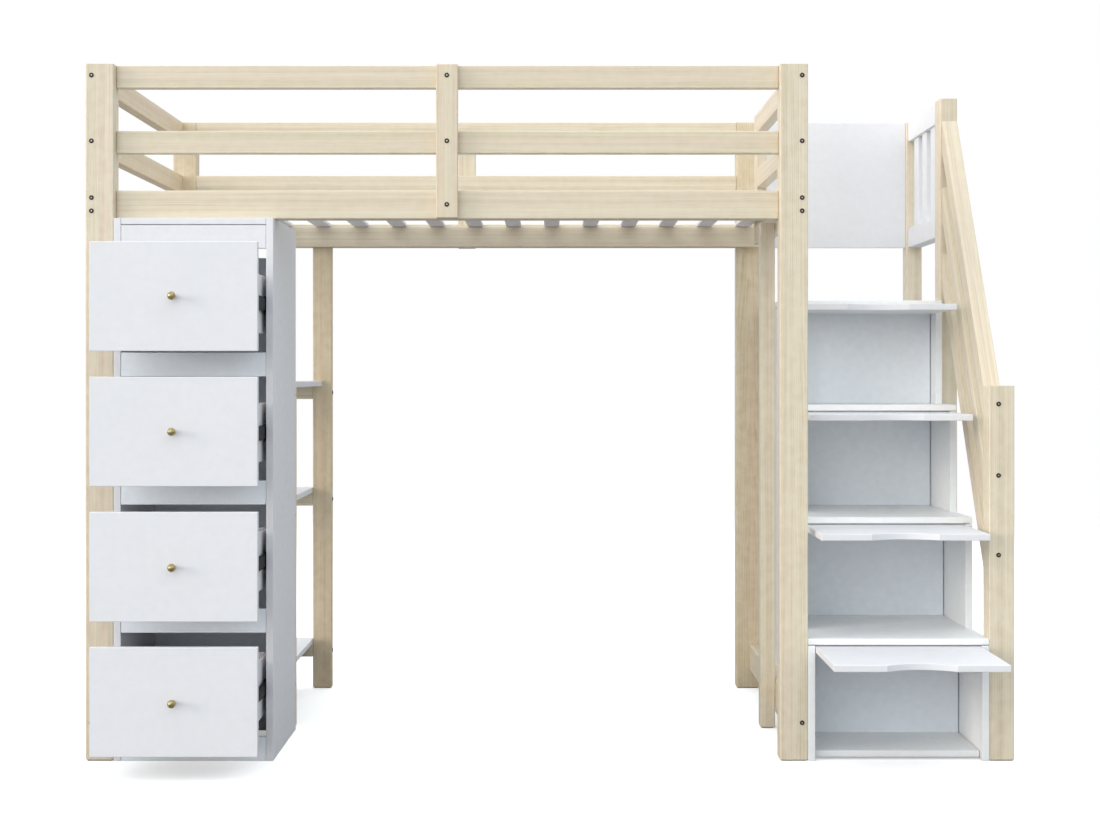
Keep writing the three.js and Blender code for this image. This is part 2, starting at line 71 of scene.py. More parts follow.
def select_parts(piece, kind, wanted):
    """In object mode, selects the faces or edges that wanted() picks, then enters edit mode."""
    pick(piece)
    mesh = piece.data
    for part in list(mesh.vertices) + list(mesh.edges) + list(mesh.polygons):
        part.select = False
    for part in (mesh.polygons if kind == "FACE" else mesh.edges):
        part.select = wanted(part)
    bpy.ops.object.mode_set(mode="EDIT")
    bpy.ops.mesh.select_mode(type=kind)


def leave_edit():
    bpy.ops.object.mode_set(mode="OBJECT")


ALONG_X, ALONG_Y, ALONG_Z = (1, 0, 0), (0, 1, 0), (0, 0, 1)
POST_EASE = 0.003
POST_FOOT = 0.005
POST_HEAD = 0.001
SAME_PLACE = 1e-6
NEARLY_ALONG = 0.9
FLAT_FACE_WEIGHT = 90


def chamfer_ends(post):
    """Planes a chamfer round the foot of a post, and takes the sharpness off its head."""
    mesh = post.data
    for end, amount in ((min, POST_FOOT), (max, POST_HEAD)):
        z = end(v.co.z for v in mesh.vertices)
        select_parts(post, "EDGE", lambda edge: all(
            abs(mesh.vertices[v].co.z - z) < SAME_PLACE for v in edge.vertices))
        bpy.ops.mesh.bevel(offset=amount, segments=1, affect="EDGES")
        leave_edit()


def ease_edges(piece, radius, segments=3, above=50):
    """Rounds the arrises that turn by more than some degrees, and keeps faces flat in the light."""
    pick(piece)
    bevel = piece.modifiers.new("eased edges", "BEVEL")
    bevel.width = radius
    bevel.segments = segments
    bevel.limit_method = "ANGLE"
    bevel.angle_limit = math.radians(above)
    bpy.ops.object.modifier_apply(modifier=bevel.name)
    bpy.ops.object.shade_smooth()
    flat = piece.modifiers.new("flat faces", "WEIGHTED_NORMAL")
    flat.mode = "FACE_AREA"
    flat.weight = FLAT_FACE_WEIGHT
    bpy.ops.object.modifier_apply(modifier=flat.name)


HEART_DISTANCE = (0.06, 0.15)
LOG_LENGTH = 40


def lay_grain(piece, along):
    """Stores where each point lies in its own plank, with z along the grain. Each plank comes from
    its own place in a log, so no two pieces show the same rings."""
    log = random.Random(piece.name)
    run = Vector(along).normalized()
    side = run.orthogonal().normalized()
    if abs(run.z) < NEARLY_ALONG:
        side = Vector((0, 0, 1)).cross(run).normalized()
    turn = Matrix((side, run.cross(side), run))
    corners = [turn @ v.co for v in piece.data.vertices]
    middle = sum(corners, Vector()) / len(corners)
    heart = log.uniform(0.0, math.tau)
    off_heart = log.uniform(*HEART_DISTANCE)
    shift = Vector((off_heart * math.cos(heart), off_heart * math.sin(heart),
                    log.uniform(0, LOG_LENGTH)))
    plank = piece.data.attributes.new("plank", "FLOAT_VECTOR", "POINT")
    plank.data.foreach_set("vector", [c for p in corners for c in (p - middle + shift)])


def feed(tree, socket, value):
    """Links an input to another node's output, or sets its value."""
    if isinstance(value, bpy.types.NodeSocket):
        tree.links.new(value, socket)
    else:
        socket.default_value = value


def add_node(tree, kind, inputs=None, **settings):
    """One shader node with its settings, and its inputs given as values or as linked sockets."""
    made = tree.nodes.new(kind)
    for key, value in settings.items():
        setattr(made, key, value)
    for key, value in (inputs or {}).items():
        feed(tree, made.inputs[key], value)
    return made


def effect_group(name, inputs, outputs):
    """An empty shader node group with named sockets, and its own input and output nodes."""
    group = bpy.data.node_groups.new(name, "ShaderNodeTree")
    for label, kind, value in inputs:
        socket = group.interface.new_socket(label, in_out="INPUT", socket_type="NodeSocket" + kind)
        if value is not None:
            socket.default_value = value
    for label, kind in outputs:
        group.interface.new_socket(label, in_out="OUTPUT", socket_type="NodeSocket" + kind)
    way_in, way_out = group.nodes.new("NodeGroupInput"), group.nodes.new("NodeGroupOutput")
    return group, way_in.outputs, way_out.inputs


def ramp(tree, fac, stops):
    """A colour ramp node. Each stop is a place and a grey value or a colour."""
    made = add_node(tree, "ShaderNodeValToRGB", {"Fac": fac})
    band = made.color_ramp
    while len(band.elements) < len(stops):
        band.elements.new(0.5)
    for element, (place, value) in zip(band.elements, stops):
        element.position = place
        element.color = (value, value, value, 1) if isinstance(value, (int, float)) else (*value, 1)
    return made.outputs["Color"]


def calc(tree, operation, *values):
    made = tree.nodes.new("ShaderNodeMath")
    made.operation = operation
    for socket, value in zip(made.inputs, values):
        feed(tree, socket, value)
    return made.outputs[0]


def mix_colour(tree, blend, amount, first, second):
    """Inputs 6 and 7 and output 2 are the mix node's colours."""
    return add_node(tree, "ShaderNodeMix", {"Factor": amount, 6: first, 7: second},
                    data_type="RGBA", blend_type=blend).outputs[2]


def scaled(tree, vector, by):
    made = add_node(tree, "ShaderNodeVectorMath", {0: vector, 1: by}, operation="MULTIPLY")
    return made.outputs[0]


def noise(tree, vector, scale, detail, roughness=0.5, output="Fac"):
    return add_node(tree, "ShaderNodeTexNoise", {"Vector": vector, "Scale": scale, "Detail": detail,
                                                 "Roughness": roughness}).outputs[output]


# Growth rings, fibres and long streaks of pine, from a point's place in its plank.
pine_grain, given, result = effect_group(
    "Pine grain",
    [("Plank", "Vector", None), ("Earlywood", "Color", (0.74, 0.66, 0.51, 1)),
     ("Latewood", "Color", (0.56, 0.43, 0.27, 1)), ("Blush", "Color", (0.72, 0.58, 0.44, 1)),
     ("Ring spacing", "Float", 0.0034), ("Ring strength", "Float", 0.5),
     ("Streaks", "Float", 0.75)],
    [("Color", "Color"), ("Roughness", "Float"), ("Height", "Float")])
stretched = scaled(pine_grain, given["Plank"], (1, 1, 0.045))
wander = noise(pine_grain, stretched, 11.0, 3.0, 0.45, "Color")
drift = add_node(pine_grain, "ShaderNodeVectorMath", {0: wander, 1: (0.5, 0.5, 0.5)},
                 operation="SUBTRACT").outputs[0]
drift = scaled(pine_grain, drift, (0.055, 0.055, 0.0))
bent = add_node(pine_grain, "ShaderNodeVectorMath", {0: given["Plank"], 1: drift}).outputs[0]
apart = add_node(pine_grain, "ShaderNodeSeparateXYZ", {0: bent}).outputs
radius = calc(pine_grain, "SQRT", calc(pine_grain, "ADD", calc(pine_grain, "POWER", apart[0], 2.0),
                                       calc(pine_grain, "POWER", apart[1], 2.0)))
season = calc(pine_grain, "FRACT", calc(pine_grain, "DIVIDE", radius, given["Ring spacing"]))
ring = ramp(pine_grain, season, [(0.0, 0.25), (0.12, 0.0), (0.55, 0.12), (0.88, 0.85), (0.97, 1.0),
                                 (1.0, 0.25)])
uneven = noise(pine_grain, stretched, 55.0, 2.0)
ring = calc(pine_grain, "MULTIPLY", ring, ramp(pine_grain, uneven, [(0.32, 0.25), (0.68, 1.0)]))
ring = calc(pine_grain, "MULTIPLY", ring, given["Ring strength"])
fibre = noise(pine_grain, scaled(pine_grain, given["Plank"], (1, 1, 0.011)), 900.0, 3.0, 0.6)
long_run = scaled(pine_grain, given["Plank"], (1, 1, 0.005))
streak = noise(pine_grain, long_run, 46.0, 1.0)
depth = noise(pine_grain, long_run, 85.0, 3.0)
resin = noise(pine_grain, long_run, 430.0, 2.0)
tone = mix_colour(pine_grain, "MIX", ring, given["Earlywood"], given["Latewood"])
blushed = calc(pine_grain, "MULTIPLY", ramp(pine_grain, streak, [(0.44, 0.0), (0.56, 1.0)]),
               given["Streaks"])
tone = mix_colour(pine_grain, "MIX", blushed, tone, given["Blush"])
tone = mix_colour(pine_grain, "MULTIPLY", given["Streaks"], tone,
                  ramp(pine_grain, depth, [(0.36, (0.9, 0.885, 0.85)), (0.5, (1.0, 1.0, 1.0)),
                                           (0.64, (1.04, 1.05, 1.06))]))
tone = mix_colour(pine_grain, "MULTIPLY", given["Streaks"], tone,
                  ramp(pine_grain, resin, [(0.56, 1.0), (0.7, 0.86)]))
tone = mix_colour(pine_grain, "MULTIPLY", 1.0, tone,
                  ramp(pine_grain, fibre, [(0.28, 0.9), (0.5, 1.0), (0.78, 1.06)]))
pine_grain.links.new(tone, result["Color"])
sheen_of_fibre = calc(pine_grain, "MULTIPLY_ADD", fibre, 0.16, 0.36)
pine_grain.links.new(calc(pine_grain, "MULTIPLY_ADD", ring, -0.08, sheen_of_fibre),
                     result["Roughness"])
pine_grain.links.new(calc(pine_grain, "MULTIPLY_ADD", ring, 0.6,
                          calc(pine_grain, "MULTIPLY", fibre, 0.5)), result["Height"])

# Where hands and knocks have polished or bared the arrises of a piece.
edge_wear, given, result = effect_group(
    "Edge wear",
    [("Coordinates", "Vector", None), ("Start", "Float", 0.52), ("End", "Float", 0.6),
     ("Breakup", "Float", 60.0)],
    [("Mask", "Float")])
sharpness = add_node(edge_wear, "ShaderNodeNewGeometry").outputs["Pointiness"]
arris = add_node(edge_wear, "ShaderNodeMapRange",
                 {"Value": sharpness, "From Min": given["Start"], "From Max": given["End"]})
patches = ramp(edge_wear, noise(edge_wear, given["Coordinates"], given["Breakup"], 5.0),
               [(0.38, 0.0), (0.62, 1.0)])
edge_wear.links.new(calc(edge_wear, "MULTIPLY", arris.outputs[0], patches), result["Mask"])


def use_group(tree, group, inputs):
    return add_node(tree, "ShaderNodeGroup", inputs, node_tree=group).outputs


def new_material(name):
    """A material with one Principled shader, and its tree."""
    made = bpy.data.materials.new(name)
    made.use_nodes = True
    return made, made.node_tree, made.node_tree.nodes["Principled BSDF"]


def add_bump(tree, shader, height, strength, distance):
    bump = add_node(tree, "ShaderNodeBump", {"Height": height, "Strength": strength,
                                             "Distance": distance})
    tree.links.new(bump.outputs[0], shader.inputs["Normal"])


def pine_material(name, early, late, blush, strength):
    """Planed pine under a thin clear satin lacquer."""
    made, tree, shader = new_material(name)
    plank = add_node(tree, "ShaderNodeAttribute", attribute_name="plank").outputs["Vector"]
    grain = use_group(tree, pine_grain, {"Plank": plank, "Earlywood": early, "Latewood": late,
                                         "Blush": blush, "Ring strength": strength})
    worn = use_group(tree, edge_wear, {"Coordinates": plank, "Breakup": 35.0})["Mask"]
    lighter = mix_colour(tree, "MIX", calc(tree, "MULTIPLY", worn, 0.35), grain["Color"],
                         (0.86, 0.79, 0.66, 1))
    tree.links.new(lighter, shader.inputs["Base Color"])
    tree.links.new(grain["Roughness"], shader.inputs["Roughness"])
    add_bump(tree, shader, grain["Height"], 0.28, 0.0006)
    shader.inputs["Coat Weight"].default_value = 0.12
    shader.inputs["Coat Roughness"].default_value = 0.3
    return made


pine = pine_material("pine", (0.74, 0.66, 0.497, 1), (0.59, 0.47, 0.315, 1),
                     (0.73, 0.61, 0.465, 1), 0.65)
pine_end = pine_material("pine_end_grain", (0.6, 0.5, 0.35, 1), (0.37, 0.26, 0.15, 1),
                         (0.55, 0.42, 0.28, 1), 0.85)
# A darker, browner copy of the pine, with shade painted in, for pieces that stand in shade.
shaded_pine = pine_material("pine_heartwood", (0.7, 0.585, 0.39, 1), (0.54, 0.4, 0.23, 1),
                           (0.69, 0.53, 0.36, 1), 0.8)


END_FACE = 0.8


def fit_pine(piece, along, node=None, wood=pine):
    """Gives a pine piece its grain and its end grain, and fixes it to the frame."""
    run = Vector(along).normalized()
    piece.data.materials.append(wood)
    piece.data.materials.append(pine_end)
    for face in piece.data.polygons:
        if abs(face.normal.dot(run)) > END_FACE:
            face.material_index = 1
    lay_grain(piece, along)
    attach(piece, "frame")
    if node:
        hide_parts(node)


def pine_post(name, low, high, node=None, wood=pine):
    post = blank(name, low, high)
    chamfer_ends(post)
    ease_edges(post, POST_EASE)
    fit_pine(post, ALONG_Z, node, wood)


# The back posts take the darker pine, with shade painted in.
for name in ("post_front_left", "post_front_right", "post_back_left", "post_back_right"):
    pine_post("bed_" + name, *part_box(name), name, shaded_pine if "back" in name else pine)


# GUARD RAILS AND END RAILS
# Planed pine rails between the posts, three high all round, with a stile planted over the middle
# of each long side and a low stretcher at each end. They are bolted through the posts.
RAIL_EASE = 0.003


def pine_rail(name, low, high, along, node=None, wood=pine):
    rail = blank(name, low, high)
    ease_edges(rail, RAIL_EASE)
    fit_pine(rail, along, node, wood)


def level_of(rail):
    low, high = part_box(rail)
    return low.z, high.z


levels = [(place, level_of(f"front_rail_{place}")) for place in ("top", "middle", "bottom")]
# The left end rails take the darker pine, with shade painted in.
for place, _ in levels:
    pine_rail(f"front_guard_{place}", *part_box(f"front_rail_{place}"), ALONG_X,
              f"front_rail_{place}")
    pine_rail(f"left_end_{place}", *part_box(f"left_end_rail_{place}"), ALONG_Y,
              f"left_end_rail_{place}", wood=shaded_pine)
pine_rail("front_guard_stile", *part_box("front_stile"), ALONG_Z, "front_stile")
for side in ("left", "right"):
    pine_rail(f"{side}_stretcher", *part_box(f"{side}_end_stretcher"), ALONG_Y,
              f"{side}_end_stretcher")

RAIL_THICKNESS = 0.028
back_low, back_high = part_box("back_guard")
stile_low, stile_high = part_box("front_stile")
for place, (bottom, top) in levels:
    pine_rail(f"back_guard_{place}", (back_low.x, back_low.y, bottom),
              (back_high.x, back_low.y + RAIL_THICKNESS, top), ALONG_X, "back_guard")
pine_rail("back_guard_stile", (stile_low.x, back_low.y + RAIL_THICKNESS, back_low.z),
          (stile_high.x, back_high.y, back_high.z), ALONG_Z, "back_guard")

END_STILE_DEPTH = 0.065
end_low, end_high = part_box("right_end_guard")
end_stile_front = end_high.y - END_STILE_DEPTH
for place, (bottom, top) in levels:
    pine_rail(f"right_end_{place}", (end_low.x, end_low.y, bottom),
              (end_high.x, end_stile_front, top), ALONG_Y, "right_end_guard")
pine_rail("right_end_stile", (end_low.x, end_stile_front, end_low.z), end_high, ALONG_Z,
          "right_end_guard")

pine_post("deck_support", *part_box("support_post"), "support_post")


# SLATTED DECK
# White slats screwed down on a pine ledger along each side. The heads of the screws sit almost
# flush in the slats, two at each end.
SLAT_COUNT = 15
SLAT_PITCH = 0.131
SLAT_WIDTH = 0.052
SLAT_THICKNESS = 0.012
SLAT_END_GAP = 0.002
SLAT_EASE = 0.003
LEDGER_THICKNESS = 0.028
BOARD_EASE = 0.0015

# Sprayed white lacquer on board: a faint orange peel, a little cloudiness and rubbed corners.
white_lacquer, given, result = effect_group(
    "White lacquer",
    [("Coordinates", "Vector", None), ("Tint", "Color", (0.8, 0.8, 0.83, 1)),
     ("Shade", "Color", (0.68, 0.69, 0.73, 1)), ("Clouding", "Float", 0.35),
     ("Peel scale", "Float", 420.0)],
    [("Color", "Color"), ("Roughness", "Float"), ("Height", "Float")])
cloud = noise(white_lacquer, given["Coordinates"], 4.5, 4.0)
smudge = noise(white_lacquer, given["Coordinates"], 38.0, 6.0, 0.65)
peel = noise(white_lacquer, given["Coordinates"], given["Peel scale"], 2.0)
speck = add_node(white_lacquer, "ShaderNodeTexVoronoi",
                 {"Vector": given["Coordinates"], "Scale": 95.0}).outputs["Distance"]
clouded = calc(white_lacquer, "MULTIPLY", ramp(white_lacquer, cloud, [(0.42, 0.0), (0.72, 1.0)]),
               given["Clouding"])
tone = mix_colour(white_lacquer, "MIX", clouded, given["Tint"], given["Shade"])
tone = mix_colour(white_lacquer, "MULTIPLY", 1.0, tone,
                  ramp(white_lacquer, smudge, [(0.3, 0.975), (0.6, 1.0)]))
tone = mix_colour(white_lacquer, "MULTIPLY", 1.0, tone,
                  ramp(white_lacquer, speck, [(0.02, 0.955), (0.05, 1.0)]))
white_lacquer.links.new(tone, result["Color"])
white_lacquer.links.new(calc(white_lacquer, "MULTIPLY_ADD", smudge, 0.22, 0.3),
                        result["Roughness"])
white_lacquer.links.new(calc(white_lacquer, "ADD", calc(white_lacquer, "MULTIPLY", peel, 0.7),
                             calc(white_lacquer, "MULTIPLY", smudge, 0.5)), result["Height"])


def white_material(name, tint, shade, bared):
    """White lacquered board with the board's own colour showing at rubbed corners."""
    made, tree, shader = new_material(name)
    place = add_node(tree, "ShaderNodeTexCoord").outputs["Object"]
    coat = use_group(tree, white_lacquer, {"Coordinates": place, "Tint": tint, "Shade": shade,
                                           "Clouding": 0.4})
    worn = use_group(tree, edge_wear, {"Coordinates": place, "Breakup": 45.0})["Mask"]
    colour = mix_colour(tree, "MIX", calc(tree, "MULTIPLY", worn, 0.3), coat["Color"], bared)
    tree.links.new(colour, shader.inputs["Base Color"])
    tree.links.new(calc(tree, "MULTIPLY_ADD", worn, 0.15, coat["Roughness"]),
                   shader.inputs["Roughness"])
    add_bump(tree, shader, coat["Height"], 0.12, 0.0004)
    shader.inputs["Specular IOR Level"].default_value = 0.45
    return made


white_board = white_material("white_board", (0.8, 0.8, 0.83, 1), (0.765, 0.77, 0.805, 1),
                             (0.72, 0.71, 0.69, 1))
# A lighter copy of the white board, with light painted in, for the stair treads, sides and floor.
white_tread = white_material("white_tread", (0.905, 0.92, 0.93, 1), (0.86, 0.875, 0.89, 1),
                             (0.78, 0.77, 0.75, 1))
# A bluer, paler copy of the white board: bluish shade painted in, and paler to make up for the
# light these recessed pieces lack.
bluish_shade_board = white_material("pale_back_board", (0.87, 0.92, 0.975, 1), (0.83, 0.88, 0.935, 1),
                            (0.75, 0.76, 0.78, 1))


def fit_white(piece, body="frame", node=None, material=white_board):
    piece.data.materials.append(material)
    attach(piece, body)
    if node:
        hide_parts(node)


def white_panel(name, low, high, node, ease=BOARD_EASE, material=white_board):
    board = blank(name, low, high)
    ease_edges(board, ease, segments=2)
    fit_white(board, "frame", node, material)


deck_low, deck_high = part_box("slat_rack")
slat_bottom = deck_high.z - SLAT_THICKNESS
ledgers = {"front": (deck_low.y, deck_low.y + LEDGER_THICKNESS),
           "back": (deck_high.y - LEDGER_THICKNESS, deck_high.y)}
for side, (near, far) in ledgers.items():
    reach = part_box("right_end_guard")[0].x if side == "front" else deck_high.x
    pine_rail(f"{side}_ledger", (deck_low.x, near, deck_low.z), (reach, far, slat_bottom),
              ALONG_X, "slat_rack")

last_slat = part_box("right_end_guard")[0].x - SLAT_END_GAP - SLAT_WIDTH
slat_near, slat_far = deck_low.y + SLAT_END_GAP, deck_high.y - SLAT_END_GAP
for i in range(SLAT_COUNT):
    x = last_slat - i * SLAT_PITCH
    white_panel(f"slat_{i + 1}", (x, slat_near, slat_bottom),
                (x + SLAT_WIDTH, slat_far, deck_high.z), node="slat_rack", ease=SLAT_EASE)

# Metal with darker handling marks and fine pits. Each material is brighter on its edges.
steel_finish, given, result = effect_group(
    "Plated steel",
    [("Coordinates", "Vector", None), ("Bright", "Color", (0.5, 0.49, 0.47, 1)),
     ("Dull", "Color", (0.24, 0.23, 0.22, 1)), ("Scale", "Float", 160.0)],
    [("Color", "Color"), ("Roughness", "Float"), ("Height", "Float")])
stain = noise(steel_finish, given["Coordinates"], given["Scale"], 5.0, 0.6)
pits = noise(steel_finish, given["Coordinates"], 1800.0, 1.0)
tone = mix_colour(steel_finish, "MIX", ramp(steel_finish, stain, [(0.35, 0.0), (0.65, 1.0)]),
                  given["Bright"], given["Dull"])
steel_finish.links.new(tone, result["Color"])
steel_finish.links.new(calc(steel_finish, "MULTIPLY_ADD", stain, 0.3, 0.22), result["Roughness"])
steel_finish.links.new(pits, result["Height"])


def metal_material(name, bright, dull, worn_to, scale, metallic, wear, gloss=0.5):
    made, tree, shader = new_material(name)
    place = add_node(tree, "ShaderNodeTexCoord").outputs["Object"]
    finish = use_group(tree, steel_finish, {"Coordinates": place, "Bright": bright, "Dull": dull,
                                            "Scale": scale})
    worn = use_group(tree, edge_wear, {"Coordinates": place, "Breakup": 300.0})["Mask"]
    colour = mix_colour(tree, "MIX", calc(tree, "MULTIPLY", worn, wear), finish["Color"], worn_to)
    tree.links.new(colour, shader.inputs["Base Color"])
    tree.links.new(finish["Roughness"], shader.inputs["Roughness"])
    add_bump(tree, shader, finish["Height"], 0.1, 0.0002)
    shader.inputs["Metallic"].default_value = metallic
    shader.inputs["Specular IOR Level"].default_value = gloss
    return made


zinc = metal_material("zinc_steel", (0.66, 0.63, 0.58, 1), (0.42, 0.39, 0.36, 1),
                      (0.75, 0.74, 0.72, 1), scale=160.0, metallic=0.7, wear=0.6)

SCREW_RADIUS = 0.004
SCREW_LENGTH = 0.004
SCREW_PROUD = 0.0006
SCREW_EASE = 0.0005
SCREW_INSET = 0.013
SCREW_FROM_END = 0.014
SCREW_TURN = 1.5
CROSS_SPAN, CROSS_WIDTH = 0.0044, 0.0011


def cut_with(piece, cutter):
    """Cuts one mesh out of another and throws the cutter away."""
    pick(piece)
    cut = piece.modifiers.new("cut", "BOOLEAN")
    cut.object = cutter
    cut.operation = "DIFFERENCE"
    cut.solver = "EXACT"
    bpy.ops.object.modifier_apply(modifier=cut.name)
    bpy.data.objects.remove(cutter)


def rod(name, radius, length, centre, axis, sides=24):
    """A round bar along one axis."""
    bpy.ops.object.select_all(action="DESELECT")
    turn = {0: (0, math.pi / 2, 0), 1: (math.pi / 2, 0, 0), 2: (0, 0, 0)}[axis]
    bpy.ops.mesh.primitive_cylinder_add(vertices=sides, radius=radius, depth=length,
                                        location=centre, rotation=turn)
    bpy.ops.object.transform_apply(location=True, rotation=True, scale=True)
    made = bpy.context.object
    made.name = name
    return made


def copied(piece, name, offset, turn=Matrix()):
    """A copy with its own mesh, turned about the origin and then moved."""
    twin = piece.copy()
    twin.data = piece.data.copy()
    twin.name = name
    twin.data.name = name
    twin.data.transform(Matrix.Translation(offset) @ turn)
    bpy.context.collection.objects.link(twin)
    return twin


def place_fixing(pattern, name, spot, turn):
    """A copy of a pattern screw, bolt or nut, fixed to the frame."""
    made = copied(pattern, name, spot, turn)
    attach(made, "frame")


# The pattern screw lies at the origin with its head up, and has a cross recess.
screw = rod("slat_screw", SCREW_RADIUS, SCREW_LENGTH,
            (0, 0, SCREW_PROUD - SCREW_LENGTH / 2), 2, sides=20)
ease_edges(screw, SCREW_EASE, segments=2)
for size in ((CROSS_SPAN, CROSS_WIDTH, SCREW_LENGTH), (CROSS_WIDTH, CROSS_SPAN, SCREW_LENGTH)):
    cut_with(screw, blank("cross", [-s / 2 for s in size], [s / 2 for s in size]))
screw.data.materials.append(zinc)
for i in range(SLAT_COUNT):
    middle = last_slat - i * SLAT_PITCH + SLAT_WIDTH / 2
    for side, y in (("front", slat_near + SCREW_FROM_END), ("back", slat_far - SCREW_FROM_END)):
        for j, shift in enumerate((-SCREW_INSET, SCREW_INSET)):
            turn = random.Random(f"{i}{side}{j}").uniform(0, SCREW_TURN)
            place_fixing(screw, f"slat_screw_{side}_{i + 1}_{j + 1}",
                         (middle + shift, y, deck_high.z), Matrix.Rotation(turn, 4, "Z"))
bpy.data.objects.remove(screw)


# FRAME BOLTS
# Connector bolts with a wide flat head and a hexagon socket. They go through the posts into the
# end rails, through the two stiles into the side rails, and into the front newel and shelf posts.
BOLT_RADIUS = 0.0066
BOLT_LENGTH = 0.006
BOLT_PROUD = 0.0018
BOLT_EASE = 0.0009
BOLT_SOCKET = 0.0025
SOCKET_FLOOR = 0.5
SOCKET_CUT = 0.0016
POST_BOLTS = (1.921, 1.737, 1.578, 1.541)
STILE_BOLTS = (1.921, 1.737, 1.559)
bronzed = metal_material("bronzed_steel", (0.055, 0.042, 0.031, 1), (0.025, 0.019, 0.015, 1),
                         (0.2, 0.165, 0.12, 1), scale=200.0, metallic=0.2, wear=0.1, gloss=0.2)
bolt = rod("bolt", BOLT_RADIUS, BOLT_LENGTH, (0, -BOLT_PROUD + BOLT_LENGTH / 2, 0), 1, sides=28)
ease_edges(bolt, BOLT_EASE, segments=3)
cut_with(bolt, rod("socket", BOLT_SOCKET, SOCKET_CUT, (0, -BOLT_PROUD, 0), 1, sides=6))
bolt.data.materials.append(bronzed)
bolt.data.materials.append(zinc)
for face in bolt.data.polygons:
    if math.hypot(face.center.x, face.center.z) < BOLT_SOCKET * SOCKET_FLOOR:
        face.material_index = 1
FROM_FRONT = Matrix()
FROM_BACK = Matrix.Rotation(math.pi, 4, "Z")
FROM_RIGHT = Matrix.Rotation(math.pi / 2, 4, "Z")
stretcher_low, stretcher_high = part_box("left_end_stretcher")
bolt_levels = [*POST_BOLTS, (stretcher_low.z + stretcher_high.z) / 2]
for side, rail in (("left", "left_end_stretcher"), ("right", "right_end_stretcher")):
    rail_low, rail_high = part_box(rail)
    x = (rail_low.x + rail_high.x) / 2
    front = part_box(f"post_front_{side}")[0].y
    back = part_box(f"post_back_{side}")[1].y
    for i, z in enumerate(bolt_levels):
        place_fixing(bolt, f"post_bolt_front_{side}_{i + 1}", (x, front, z), FROM_FRONT)
        if side == "left" or i == len(bolt_levels) - 1:
            place_fixing(bolt, f"post_bolt_back_{side}_{i + 1}", (x, back, z), FROM_BACK)
stile_x = (stile_low.x + stile_high.x) / 2
for i, z in enumerate(STILE_BOLTS):
    place_fixing(bolt, f"stile_bolt_front_{i + 1}", (stile_x, stile_low.y, z), FROM_FRONT)
    place_fixing(bolt, f"stile_bolt_back_{i + 1}", (stile_x, back_high.y, z), FROM_BACK)

# The barrel nuts that the bolts pull on lie across the end rails, flush with their inner faces.
NUT_RADIUS = 0.005
NUT_LENGTH = 0.006
NUT_EASE = 0.0005
NUT_SINK = 0.0027
NUT_FROM_POST = 0.036
SLOT_FLOOR, SLOT_MOUTH, SLOT_HALF = 0.002, 0.004, 0.0006
nut = rod("nut", NUT_RADIUS, NUT_LENGTH, (0, 0, 0), 0)
ease_edges(nut, NUT_EASE, segments=2)
cut_with(nut, blank("slot", (SLOT_FLOOR, -SLOT_HALF, -NUT_RADIUS),
                    (SLOT_MOUTH, SLOT_HALF, NUT_RADIUS)))
nut.data.materials.append(zinc)
nut_rows = {"front": stretcher_low.y + NUT_FROM_POST, "back": stretcher_high.y - NUT_FROM_POST}
for side, inner_x, inward in (("left", stretcher_high.x, 1),
                              ("right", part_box("right_end_stretcher")[0].x, -1)):
    for i, z in enumerate(bolt_levels):
        for end, y in nut_rows.items():
            if side == "left" or end == "front" or i == len(bolt_levels) - 1:
                place_fixing(nut, f"barrel_nut_{side}_{end}_{i + 1}",
                             (inner_x - inward * NUT_SINK, y, z),
                             FROM_BACK if inward < 0 else FROM_FRONT)
bpy.data.objects.remove(nut)


# DRAWER CABINET
# A white carcass of edge-banded board: two sides, cross rails between the drawers, a top board
# that lies between the sides, and a back panel. It is doweled and glued.
PANEL = 0.020
TOP_BOARD = 0.018
CROSS_RAIL_HEIGHT = 0.067
CROSS_RAIL_THICKNESS = 0.018
CROSS_RAIL_GAP = 0.0006
TOP_SEAM = 0.002
DRAWERS = 4
case_low, case_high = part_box("cabinet_carcass")
case_left, case_right = case_low.x + PANEL, case_high.x - PANEL
side_top = case_high.z - TOP_BOARD
white_panel("cabinet_left_side", case_low, (case_left, case_high.y, case_high.z),
            node="cabinet_carcass")
white_panel("cabinet_right_side", (case_right, case_low.y, 0), case_high,
            node="cabinet_carcass")
white_panel("cabinet_top", (case_left + CROSS_RAIL_GAP, case_low.y + CROSS_RAIL_GAP, side_top),
            (case_right - CROSS_RAIL_GAP, case_high.y, case_high.z), node="cabinet_carcass")
bay_pitch = (side_top - CROSS_RAIL_HEIGHT) / DRAWERS
# The cross rails below the top one and the back panel take the bluer copy of the white board, with
# bluish shade painted in.
for i in range(DRAWERS + 1):
    z = i * bay_pitch
    top = z + CROSS_RAIL_HEIGHT - (TOP_SEAM if i == DRAWERS else 0)
    white_panel(f"cabinet_cross_rail_{i + 1}",
                (case_left + CROSS_RAIL_GAP, case_low.y + CROSS_RAIL_GAP, z),
                (case_right - CROSS_RAIL_GAP, case_low.y + CROSS_RAIL_THICKNESS, top),
                node="cabinet_carcass", material=bluish_shade_board if i < DRAWERS else white_board)
white_panel("cabinet_back_panel", *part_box("cabinet_back"), node="cabinet_back",
            material=bluish_shade_board)


# DRAWER RUNNERS
# Telescopic ball runners of black coated steel. The fixed channel is screwed to the cabinet, the
# inner one to the drawer, and the middle member runs between them on its ball rows.
RUNNER_HEIGHT = 0.045
RUNNER_SPACE = 0.013
RUNNER_WALL = 0.0014
RUNNER_LIP = 0.0032
CHANNEL_REACH = 0.009
CHANNEL_SETBACK = 0.004
CHANNEL_LENGTH = 0.350
INNER_HEIGHT = 0.0188
INNER_REACH = 0.0086
INNER_LIP = 0.002
CHANNEL_EASE = 0.0004
black_steel = metal_material("black_steel", (0.01, 0.0102, 0.011, 1), (0.004, 0.004, 0.005, 1),
                             (0.03, 0.03, 0.033, 1), scale=60.0, metallic=0.0, wear=0.2,
                             gloss=0.05)


